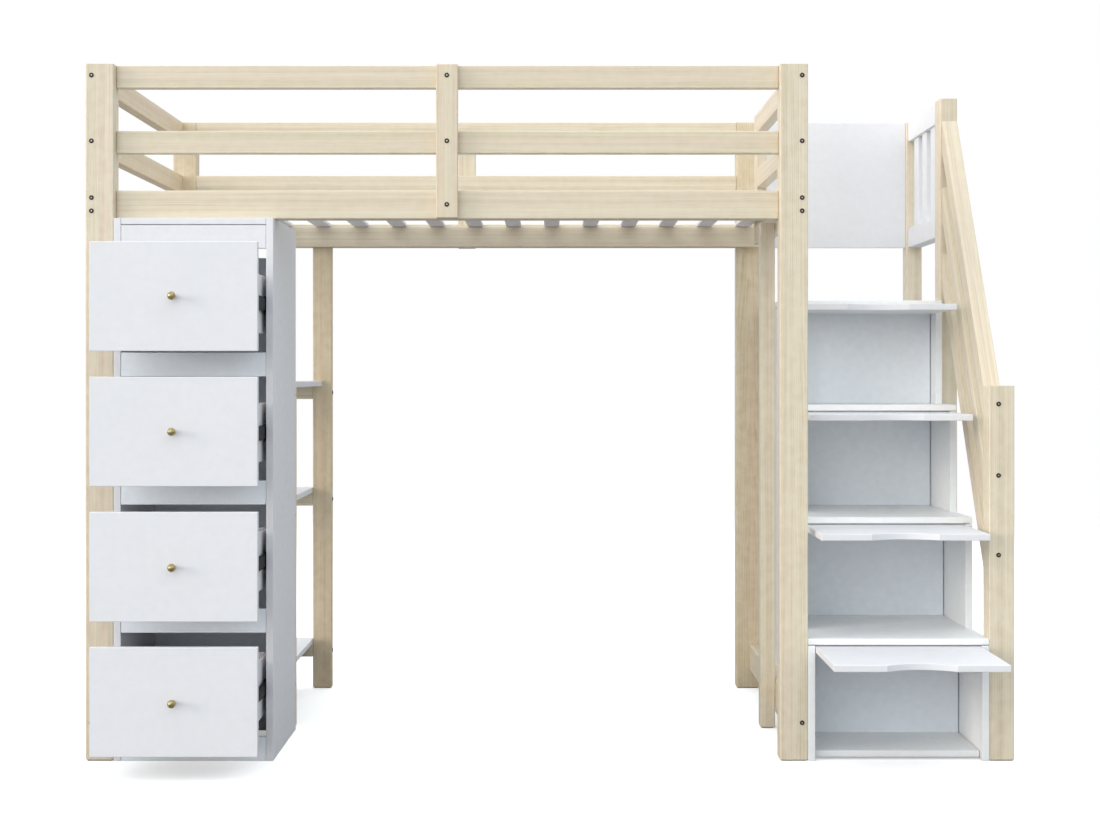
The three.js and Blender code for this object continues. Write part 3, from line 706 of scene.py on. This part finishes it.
def rolled_channel(name, web_x, inward, reach, height, lip, lip_out, y, z):
    """A channel rolled from sheet: a flat web, two flanges, and a turned lip on each."""
    bpy.ops.object.select_all(action="DESELECT")
    bpy.ops.mesh.primitive_plane_add(size=1, location=(web_x, (y[0] + y[1]) / 2, z),
                                     rotation=(0, math.pi / 2, 0))
    strip = bpy.context.object
    strip.scale = (height, y[1] - y[0], 1)
    bpy.ops.object.transform_apply(location=True, rotation=True, scale=True)
    strip.name = name
    for up in (1, -1):
        rim = z + up * height / 2
        select_parts(strip, "EDGE", lambda edge: all(
            abs(strip.data.vertices[v].co.z - rim) < SAME_PLACE
            and abs(strip.data.vertices[v].co.x - web_x) < SAME_PLACE for v in edge.vertices))
        bpy.ops.mesh.extrude_region_move(TRANSFORM_OT_translate={"value": (inward * reach, 0, 0)})
        turned = lip if lip_out else -lip
        bpy.ops.mesh.extrude_region_move(TRANSFORM_OT_translate={"value": (0, 0, up * turned)})
        leave_edit()
    bpy.ops.object.mode_set(mode="EDIT")
    bpy.ops.mesh.select_all(action="SELECT")
    bpy.ops.mesh.normals_make_consistent(inside=False)
    leave_edit()
    wall = strip.modifiers.new("sheet", "SOLIDIFY")
    wall.thickness = RUNNER_WALL
    wall.offset = 0
    bpy.ops.object.modifier_apply(modifier=wall.name)
    ease_edges(strip, CHANNEL_EASE, segments=2)
    strip.data.materials.append(black_steel)
    return strip


def runner_z(bay):
    low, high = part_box(f"drawer_{bay + 1}_runner_left")
    return (low.z + high.z) / 2


def lift(bay):
    return (0, 0, runner_z(bay) - runner_z(0))


half_wall = RUNNER_WALL / 2
fixed_y = (case_low.y + CHANNEL_SETBACK, case_low.y + CHANNEL_SETBACK + CHANNEL_LENGTH)
for side, wall, inward in (("left", case_left, 1), ("right", case_right, -1)):
    channel = rolled_channel(f"fixed_channel_{side}_1", wall + inward * half_wall, inward,
                             CHANNEL_REACH - RUNNER_WALL, RUNNER_HEIGHT - RUNNER_WALL,
                             RUNNER_LIP + half_wall, False, fixed_y, runner_z(0))
    for bay in range(DRAWERS):
        made = channel if bay == 0 else copied(channel, f"fixed_channel_{side}_{bay + 1}",
                                               lift(bay))
        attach(made, "frame")
for bay in range(DRAWERS):
    for side in ("left", "right"):
        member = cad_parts[f"drawer_{bay + 1}_runner_{side}"]
        member.data.materials.clear()
        member.data.materials.append(black_steel)


# DRAWERS
# Each is a white overlay front screwed to a box of thinner board. The bottom is let in a little
# above the lower edge and runs out under the back. The lowest is made and the others are copies.
BOX_WALL = 0.012
BOX_BOTTOM = 0.006
BOX_BOTTOM_RAISE = 0.010
FRONT_SEAM = 0.0004
FRONT_EASE, BOX_EASE = 0.0018, 0.001
box_low, box_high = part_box("drawer_1_box")
box_low.x, box_high.x = case_left + RUNNER_SPACE, case_right - RUNNER_SPACE
inner_left, inner_right = box_low.x + BOX_WALL, box_high.x - BOX_WALL
bottom_z = box_low.z + BOX_BOTTOM_RAISE
front_low, front_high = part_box("drawer_1_front")
drawer_boards = {
    "front": (front_low, (front_high.x, front_high.y - FRONT_SEAM, front_high.z)),
    "box_left": (box_low, (inner_left, box_high.y, box_high.z)),
    "box_right": ((inner_right, box_low.y, box_low.z), box_high),
    "box_front": ((inner_left, box_low.y, box_low.z),
                  (inner_right, box_low.y + BOX_WALL, box_high.z)),
    "box_back": ((inner_left, box_high.y - BOX_WALL, bottom_z + BOX_BOTTOM),
                 (inner_right, box_high.y, box_high.z)),
    "box_bottom": ((inner_left, box_low.y + BOX_WALL, bottom_z),
                   (inner_right, box_high.y, bottom_z + BOX_BOTTOM)),
}
for part, (low, high) in drawer_boards.items():
    board = blank(f"drawer_1_{part}_board", low, high)
    ease_edges(board, FRONT_EASE if part == "front" else BOX_EASE, segments=3)
    board.data.materials.append(white_board)
    for bay in range(DRAWERS):
        made = board if bay == 0 else copied(board, f"drawer_{bay + 1}_{part}_board", lift(bay))
        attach(made, f"drawer_{bay + 1}")
        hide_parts(f"drawer_{bay + 1}_" + ("front" if part == "front" else "box"))
for side, wall, inward in (("left", box_low.x, -1), ("right", box_high.x, 1)):
    channel = rolled_channel(f"inner_channel_{side}_1", wall + inward * half_wall, inward,
                             INNER_REACH - RUNNER_WALL, INNER_HEIGHT - RUNNER_WALL,
                             INNER_LIP + half_wall, True, (box_low.y, box_high.y), runner_z(0))
    for bay in range(DRAWERS):
        made = channel if bay == 0 else copied(channel, f"inner_channel_{side}_{bay + 1}",
                                               lift(bay))
        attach(made, f"drawer_{bay + 1}")


# DRAWER KNOBS
# Small turned brass balls on a neck with a narrow foot, aged to a dull gold.
KNOB_BALL = 0.011
KNOB_NECK = 0.0043
KNOB_BASE = 0.0025
KNOB_CUT = 0.0002
KNOB_COLLAR = 0.0006
COLLAR_GROWTH = 0.96
RING_STEP = 0.0004
KNOB_SHOULDER = 0.0012
LAST_RING_STEP = 0.0003
FOOT_SHARPNESS = 38
knob_low, knob_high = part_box("drawer_1_knob")
knob_x, knob_z = (knob_low.x + knob_high.x) / 2, (knob_low.z + knob_high.z) / 2
brass = metal_material("aged_brass", (0.53, 0.44, 0.23, 1), (0.3, 0.235, 0.115, 1),
                       (0.78, 0.66, 0.38, 1), scale=220.0, metallic=1.0, wear=0.5)
bpy.ops.object.select_all(action="DESELECT")
bpy.ops.mesh.primitive_uv_sphere_add(segments=40, ring_count=28, radius=KNOB_BALL,
                                     rotation=(math.pi / 2, 0, 0))
bpy.ops.object.transform_apply(location=False, rotation=True, scale=False)
knob = bpy.context.object
knob.data.transform(Matrix.Translation((knob_x, knob_low.y + KNOB_BALL, knob_z)))
neck_y = knob_low.y + KNOB_BALL + math.sqrt(KNOB_BALL ** 2 - KNOB_NECK ** 2)
select_parts(knob, "FACE", lambda face: face.center.y > neck_y - KNOB_CUT)
bpy.ops.mesh.delete(type="FACE")
bpy.ops.mesh.select_mode(type="EDGE")
bpy.ops.mesh.select_non_manifold()
neck_length = knob_high.y - KNOB_BASE - neck_y - KNOB_SHOULDER
bpy.ops.mesh.extrude_region_move(TRANSFORM_OT_translate={"value": (0, KNOB_COLLAR, 0)})
bpy.ops.transform.resize(value=(COLLAR_GROWTH, 0, COLLAR_GROWTH),
                         center_override=(knob_x, neck_y + RING_STEP, knob_z))
bpy.ops.mesh.extrude_region_move(TRANSFORM_OT_translate={"value": (0, neck_length, 0)})
for grow, step in ((1.08, RING_STEP), (1.1, RING_STEP), (1.08, LAST_RING_STEP),
                   (1.0, KNOB_BASE - LAST_RING_STEP)):
    bpy.ops.mesh.extrude_region_move(TRANSFORM_OT_translate={"value": (0, step, 0)})
    bpy.ops.transform.resize(value=(grow, 1, grow), center_override=(knob_x, 0, knob_z))
bpy.ops.mesh.edge_face_add()
leave_edit()
bpy.ops.object.shade_smooth_by_angle(angle=math.radians(FOOT_SHARPNESS))
knob.name = "knob_1"
knob.data.materials.append(brass)
for bay in range(DRAWERS):
    made = knob if bay == 0 else copied(knob, f"knob_{bay + 1}", lift(bay))
    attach(made, f"drawer_{bay + 1}")
    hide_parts(f"drawer_{bay + 1}_knob")


# SHELF BAY
# A pine post and three cleats in the plane of the wall side rails carry white shelves, which
# rest against the back of the cabinet beside a short post. The top shelf is notched round the
# tall one.
SHELF_POST_WIDTH = 0.066
SHELF_CLEAT = 0.045
NOTCH_SPARE = 0.01
bay_low, bay_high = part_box("shelf_frame")
shelf_post_left = bay_high.x - SHELF_POST_WIDTH
# The tall shelf post takes the darker pine, with shade painted in.
pine_post("shelf_post", (shelf_post_left, bay_low.y, bay_low.z), bay_high, "shelf_frame",
          shaded_pine)
for place in ("lower", "middle", "upper"):
    shelf_low, shelf_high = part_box(f"shelf_{place}")
    pine_rail(f"shelf_cleat_{place}", (bay_low.x, bay_low.y, shelf_low.z - SHELF_CLEAT),
              (shelf_post_left, bay_high.y, shelf_low.z), ALONG_X, "shelf_frame")
    shelf = blank(f"shelf_board_{place}", shelf_low, shelf_high)
    if place == "upper":
        notch = blank("notch", (shelf_post_left, bay_low.y, shelf_low.z - NOTCH_SPARE),
                      [corner + NOTCH_SPARE for corner in shelf_high])
        cut_with(shelf, notch)
    ease_edges(shelf, BOARD_EASE, segments=2)
    fit_white(shelf, node=f"shelf_{place}")

SHORT_POST_INSET = 0.007
SHORT_POST_DEPTH = 0.062
short_post_face = case_high.x - SHORT_POST_INSET
# The short shelf post also takes the darker pine, with shade painted in.
pine_post("shelf_short_post", (shelf_post_left, case_high.y, 0),
          (short_post_face, case_high.y + SHORT_POST_DEPTH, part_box("shelf_upper")[0].z),
          wood=shaded_pine)
for place in ("lower", "middle", "upper"):
    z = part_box(f"shelf_{place}")[0].z - SHELF_CLEAT / 2
    place_fixing(bolt, f"shelf_bolt_back_{place}", (bay_high.x, (bay_low.y + bay_high.y) / 2, z),
               FROM_RIGHT)
    place_fixing(bolt, f"shelf_bolt_front_{place}",
               (short_post_face, case_high.y + SHORT_POST_DEPTH / 2, z), FROM_RIGHT)


# STAIRCASE BOXES
# Four white boxes, each standing on the tread of the one below: two sides, a back set well in,
# and a tread over the top. The sides, the treads and the first box's floor are in a lighter copy of
# the white board, with light painted in; the backs are in a bluer copy, with bluish shade painted
# in. The last tread is the landing, over a tall plain case.
STEPS = 4
TREAD = 0.018
COMPARTMENT = 0.252
STAIR_BACK = 0.012
FLOOR_BOARD = 0.018
FLOOR_TOP = 0.025
PIN_HOLE = 0.0044
PIN_HOLE_DEPTH = 0.0085
FLOOR_SETBACK = 0.020
STAIR_SEAM = 0.0022
TREAD_EASE = 0.002
REAR_PANEL = 0.018
DRILL_START = 0.002
case1_low, case1_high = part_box("step_box_1")
stair_left, stair_right = case1_low.x, case1_high.x
stair_in_left, stair_in_right = stair_left + PANEL, stair_right - PANEL
stair_depth = case1_high.y


def drill(board, radius, depth, mouth, inward):
    """A blind hole along X, from its mouth inwards."""
    centre = (mouth[0] + inward * (depth - DRILL_START) / 2, mouth[1], mouth[2])
    cut_with(board, rod("drill", radius, depth + DRILL_START, centre, 0))


# Each box's back takes the bluer copy of the white board, with bluish shade painted in.
for step in range(STEPS):
    node = f"step_box_{step + 1}"
    step_low, step_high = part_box(node)
    side_top = step_high.z - TREAD
    flap_low, flap_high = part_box(f"flap_{step + 1}")
    pin_y = flap_high.y - (flap_high.z - flap_low.z) / 2
    pin_z = (flap_low.z + flap_high.z) / 2
    for side, x, mouth, inward in (("left", stair_left, stair_in_left, -1),
                                   ("right", stair_in_right, stair_in_right, 1)):
        board = blank(f"step_{step + 1}_{side}_side", (x, step_low.y, step_low.z),
                      (x + PANEL, stair_depth, side_top - STAIR_SEAM))
        drill(board, PIN_HOLE, PIN_HOLE_DEPTH, (mouth, pin_y, pin_z), inward)
        ease_edges(board, BOARD_EASE, segments=2)
        fit_white(board, node=node, material=white_tread)
    back_y = min(step_low.y + COMPARTMENT, stair_depth - STAIR_BACK)
    white_panel(f"step_{step + 1}_back", (stair_in_left + STAIR_SEAM, back_y, step_low.z),
                (stair_in_right - STAIR_SEAM, back_y + STAIR_BACK, side_top), node=node,
                material=bluish_shade_board)
    name = f"step_{step + 1}_tread" if step < STEPS - 1 else "landing_board"
    white_panel(name, (stair_left, step_low.y, side_top), step_high, node=node, ease=TREAD_EASE,
                material=white_tread)
white_panel("step_1_floor", (stair_in_left + STAIR_SEAM, case1_low.y + FLOOR_SETBACK,
                             FLOOR_TOP - FLOOR_BOARD),
            (stair_in_right - STAIR_SEAM, case1_low.y + COMPARTMENT, FLOOR_TOP),
            node="step_box_1", material=white_tread)
tall_low, tall_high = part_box("landing_case")
white_panel("landing_case_left", tall_low, (stair_in_left, tall_high.y, tall_high.z),
            node="landing_case")
white_panel("landing_case_right", (stair_in_right, tall_low.y, 0), tall_high,
            node="landing_case")
white_panel("landing_case_rear", (stair_in_left, tall_high.y - REAR_PANEL, 0),
            (stair_in_right, tall_high.y, tall_high.z), node="landing_case")


# RISER FLAPS
# Lift-up flaps of white board. Each turns on a steel pin at either end of its upper edge and has
# a shallow curved cut-out for the fingers in its free edge.
FINGER_CHORD = 0.187
FINGER_DEPTH = 0.029
PIN_RADIUS = 0.004
PIN_REACH = 0.009
FLAP_EASE, PIN_EASE = 0.0014, 0.0006
FINGER_CUTTER = 0.05
finger_arc = ((FINGER_CHORD / 2) ** 2 + FINGER_DEPTH ** 2) / (2 * FINGER_DEPTH)
for step in range(STEPS):
    node = f"flap_{step + 1}"
    flap_low, flap_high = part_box(node)
    middle = (flap_low + flap_high) / 2
    leaf = blank(f"flap_leaf_{step + 1}", (flap_low.x + PIN_REACH, flap_low.y, flap_low.z),
                 (flap_high.x - PIN_REACH, flap_high.y, flap_high.z))
    cut_with(leaf, rod("finger", finger_arc, FINGER_CUTTER,
                       (middle.x, flap_low.y + FINGER_DEPTH - finger_arc, middle.z), 2,
                       sides=160))
    ease_edges(leaf, FLAP_EASE, segments=2, above=60)
    fit_white(leaf, node, node)
    pin_y = flap_high.y - (flap_high.z - flap_low.z) / 2
    for side, x in (("left", flap_low.x), ("right", flap_high.x - PIN_REACH)):
        pin = rod(f"flap_pin_{side}_{step + 1}", PIN_RADIUS, PIN_REACH,
                  (x + PIN_REACH / 2, pin_y, middle.z), 0)
        ease_edges(pin, PIN_EASE, segments=2)
        pin.data.materials.append(zinc)
        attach(pin, node)
        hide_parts(node)


# NEWELS AND HANDRAILS
# Pine posts bolted to the open side of the stairs, and three sloping handrails between them with
# plumb-cut ends.
for name in ("newel_front", "newel_upper", "stair_back_post"):
    pine_post(name + "_timber", *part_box(name), name)
HANDRAIL_HEIGHT = 0.106
NEWEL_BOLTS = (1.000, 0.800, 0.577)
NEWEL_BOLT_SHIFT = 0.0095
for place in ("top", "middle", "bottom"):
    low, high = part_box(f"handrail_{place}")
    rise = high.z - low.z - HANDRAIL_HEIGHT
    rail = blank(f"sloping_rail_{place}", low, (high.x, high.y, low.z + HANDRAIL_HEIGHT))
    select_parts(rail, "FACE", lambda face: face.normal.y > NEARLY_ALONG)
    bpy.ops.transform.translate(value=(0, 0, rise))
    leave_edit()
    ease_edges(rail, RAIL_EASE, above=25)
    slope = Vector((0, high.y - low.y, rise)).normalized()
    fit_pine(rail, slope, node=f"handrail_{place}")
newel_low, newel_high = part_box("newel_front")
newel_bolt_x = (newel_low.x + newel_high.x) / 2 - NEWEL_BOLT_SHIFT
for i, z in enumerate(NEWEL_BOLTS):
    place_fixing(bolt, f"newel_bolt_{i + 1}", (newel_bolt_x, newel_low.y, z), FROM_FRONT)


# LANDING GUARDS
# A white slatted guard between the upper newel and the back post on the open side, and a plain
# white panel across the wall side.
GUARD_RAIL = 0.067
GUARD_SLATS = 3
GUARD_SLAT_WIDTH = 0.058
GUARD_SLAT_THICKNESS = 0.020
GUARD_SLAT_INSET = 0.008
GUARD_RAIL_EASE, GUARD_SLAT_EASE = 0.003, 0.002
guard_low, guard_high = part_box("landing_side_guard")
white_panel("landing_guard_bottom", guard_low,
            (guard_high.x, guard_high.y, guard_low.z + GUARD_RAIL),
            node="landing_side_guard", ease=GUARD_RAIL_EASE)
white_panel("landing_guard_top", (guard_low.x, guard_low.y, guard_high.z - GUARD_RAIL),
            guard_high, node="landing_side_guard", ease=GUARD_RAIL_EASE)
slat_space = guard_high.y - guard_low.y - GUARD_SLATS * GUARD_SLAT_WIDTH
slat_gap = slat_space / (GUARD_SLATS + 1)
for i in range(GUARD_SLATS):
    x = guard_low.x + GUARD_SLAT_INSET
    y = guard_low.y + slat_gap + i * (slat_gap + GUARD_SLAT_WIDTH)
    white_panel(f"landing_guard_slat_{i + 1}", (x, y, guard_low.z + GUARD_RAIL),
                (x + GUARD_SLAT_THICKNESS, y + GUARD_SLAT_WIDTH, guard_high.z - GUARD_RAIL),
                node="landing_side_guard", ease=GUARD_SLAT_EASE)
white_panel("landing_wall_panel", *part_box("landing_back_panel"), node="landing_back_panel")
bpy.data.objects.remove(bolt)


# STUDIO
# A pale floor that fades into white, a soft warm key light from the left, a weaker fill from the
# front, pale sky light all round, and a level camera where the photograph was taken from.
FLOOR_SIZE = 60
FLOOR_LIFT = 0.36
FADE_START, FADE_END = 2.5, 8.0
WHITE = (1, 1, 1, 1)
bpy.ops.object.select_all(action="DESELECT")
bpy.ops.mesh.primitive_plane_add(size=FLOOR_SIZE, location=(0, 0, 0))
floor = bpy.context.object
floor.name = "studio_floor"
floor_paint, tree, shader = new_material("floor_paint")
place = add_node(tree, "ShaderNodeTexCoord").outputs["Object"]
mottle = ramp(tree, noise(tree, place, 3.0, 4.0),
              [(0.3, (0.88, 0.88, 0.885)), (0.7, (0.9, 0.9, 0.9))])
tree.links.new(mottle, shader.inputs["Base Color"])
shader.inputs["Roughness"].default_value = 0.85
seen = add_node(tree, "ShaderNodeLightPath").outputs["Is Camera Ray"]
lift_up = add_node(tree, "ShaderNodeEmission", {"Color": WHITE, "Strength": FLOOR_LIFT})
bright = add_node(tree, "ShaderNodeAddShader", {0: shader.outputs[0], 1: lift_up.outputs[0]})
bounce = add_node(tree, "ShaderNodeBsdfDiffuse", {"Color": (0.25, 0.247, 0.245, 1)})
near = add_node(tree, "ShaderNodeMixShader", {0: seen, 1: bounce.outputs[0],
                                              2: bright.outputs[0]})
out_there = add_node(tree, "ShaderNodeVectorMath", {0: place}, operation="LENGTH").outputs["Value"]
fade = add_node(tree, "ShaderNodeMapRange",
                {"Value": out_there, "From Min": FADE_START, "From Max": FADE_END},
                interpolation_type="SMOOTHSTEP").outputs[0]
glow = add_node(tree, "ShaderNodeEmission", {"Color": WHITE, "Strength": 1.0})
far = calc(tree, "MULTIPLY", fade, seen)
mixed = add_node(tree, "ShaderNodeMixShader", {0: far, 1: near.outputs[0], 2: glow.outputs[0]})
tree.links.new(mixed.outputs[0], tree.nodes["Material Output"].inputs["Surface"])
floor.data.materials.append(floor_paint)


def sun_light(name, energy, spread, colour, direction):
    """A sun whose spread is in degrees."""
    light = bpy.data.lights.new(name, "SUN")
    light.energy = energy
    light.angle = math.radians(spread)
    light.color = colour
    lamp = bpy.data.objects.new(name, light)
    lamp.rotation_euler = Vector(direction).to_track_quat("-Z", "Y").to_euler()
    bpy.context.collection.objects.link(lamp)


sun_light("key_light", energy=1.4, spread=26, colour=(1.0, 0.88, 0.77),
          direction=(0.9, 0.32, -0.2))
sun_light("fill_light", energy=0.77, spread=50, colour=(0.97, 0.975, 0.95),
          direction=(0.42, 0.89, -0.17))
SKY_TINT = (0.94, 1.0, 1.045)
SKY_RISE, SKY_LEVEL = 1.25, 0.56
sky = bpy.data.worlds.new("studio_white")
bpy.context.scene.world = sky
sky.use_nodes = True
tree = sky.node_tree
toward = add_node(tree, "ShaderNodeSeparateXYZ",
                  {0: add_node(tree, "ShaderNodeTexCoord").outputs["Generated"]}).outputs
overhead = calc(tree, "MULTIPLY_ADD", calc(tree, "MAXIMUM", toward[2], 0.0), SKY_RISE, SKY_LEVEL)
dome = add_node(tree, "ShaderNodeVectorMath", {0: SKY_TINT, "Scale": overhead},
                operation="SCALE").outputs[0]
seen = add_node(tree, "ShaderNodeLightPath").outputs["Is Camera Ray"]
around = tree.nodes["Background"]
tree.links.new(dome, around.inputs["Color"])
around.inputs["Strength"].default_value = 1.0
ground = add_node(tree, "ShaderNodeBackground", {"Color": WHITE, "Strength": 1.0})
blend = add_node(tree, "ShaderNodeMixShader", {0: seen, 1: around.outputs[0],
                                               2: ground.outputs[0]})
tree.links.new(blend.outputs[0], tree.nodes["World Output"].inputs["Surface"])
bpy.context.scene.view_settings.view_transform = "Standard"

CAMERA_BACK = 4.442
CAMERA_HEIGHT = 1.081
LENS, SENSOR, LENS_SHIFT = 51.92, 36, -0.0336
camera = bpy.data.cameras.new("camera")
camera.sensor_width = SENSOR
camera.lens = LENS
camera.shift_y = LENS_SHIFT
viewer = bpy.data.objects.new("camera", camera)
viewer.location = (0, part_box("post_front_left")[0].y - CAMERA_BACK, CAMERA_HEIGHT)
viewer.rotation_euler = (math.pi / 2, 0, 0)
bpy.context.collection.objects.link(viewer)
bpy.context.scene.camera = viewer
